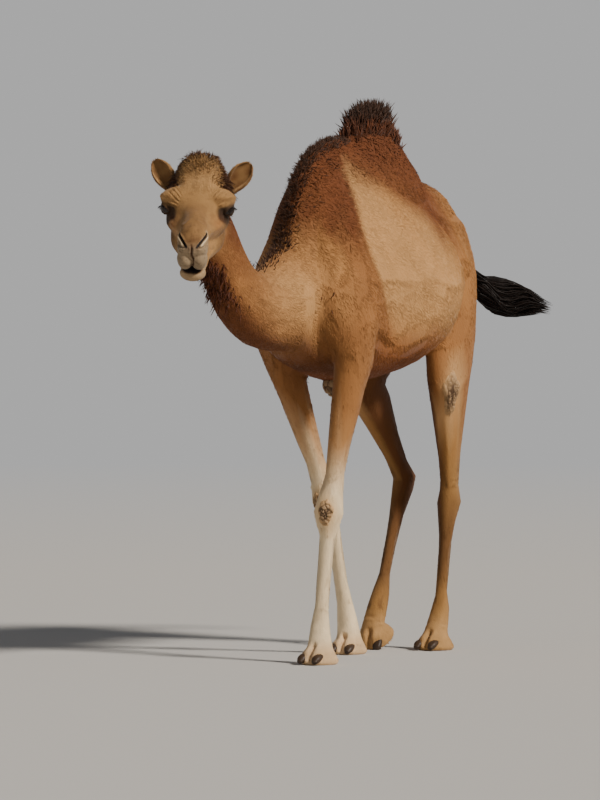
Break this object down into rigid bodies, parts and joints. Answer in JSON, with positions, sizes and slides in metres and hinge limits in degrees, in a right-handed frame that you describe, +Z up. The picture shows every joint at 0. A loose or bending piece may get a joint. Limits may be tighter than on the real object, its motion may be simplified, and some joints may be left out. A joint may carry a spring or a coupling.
{
  "type": "camel",
  "caption": "Life-size dromedary camel caught in mid-stride with its head turned to the side, a still display model resting on its feet.",
  "frame": {"origin": "on the ground, under the middle of the bounding box", "axes": "+Z up; the camel walks towards -Y, so its own left side is towards +X"},
  "size_m": [0.6192, 2.2708, 1.9569],
  "materials": {
    "coat": "short sandy brown fur",
    "pale_coat": "very short cream fur",
    "dark_hair": "long dark brown hair",
    "horn": "dull grey-brown horn",
    "eye": "wet gloss"
  },
  "bodies": {
    "root": {"trunk": "coat", "hump": "coat", "hump_crest": "dark_hair", "chest_pad": "horn", "neck": "coat", "head": "coat", "forelock": "dark_hair", "lower_jaw": "coat", "ear_left": "coat", "ear_right": "coat", "eye_left": "eye", "eye_right": "eye", "tail": "coat", "tail_brush": "dark_hair", "foreleg_left_forearm": "coat", "foreleg_left_cannon": "pale_coat", "foreleg_left_foot": "pale_coat", "foreleg_left_claw_left": "horn", "foreleg_left_claw_right": "horn", "foreleg_right_forearm": "coat", "foreleg_right_cannon": "pale_coat", "foreleg_right_foot": "pale_coat", "foreleg_right_claw_left": "horn", "foreleg_right_claw_right": "horn", "hindleg_left_thigh": "coat", "hindleg_left_gaskin": "coat", "hindleg_left_cannon": "coat", "hindleg_left_foot": "coat", "hindleg_left_claw_left": "horn", "hindleg_left_claw_right": "horn", "hindleg_right_thigh": "coat", "hindleg_right_gaskin": "coat", "hindleg_right_cannon": "coat", "hindleg_right_foot": "coat", "hindleg_right_claw_left": "horn", "hindleg_right_claw_right": "horn"}
  },
  "joints": []
}
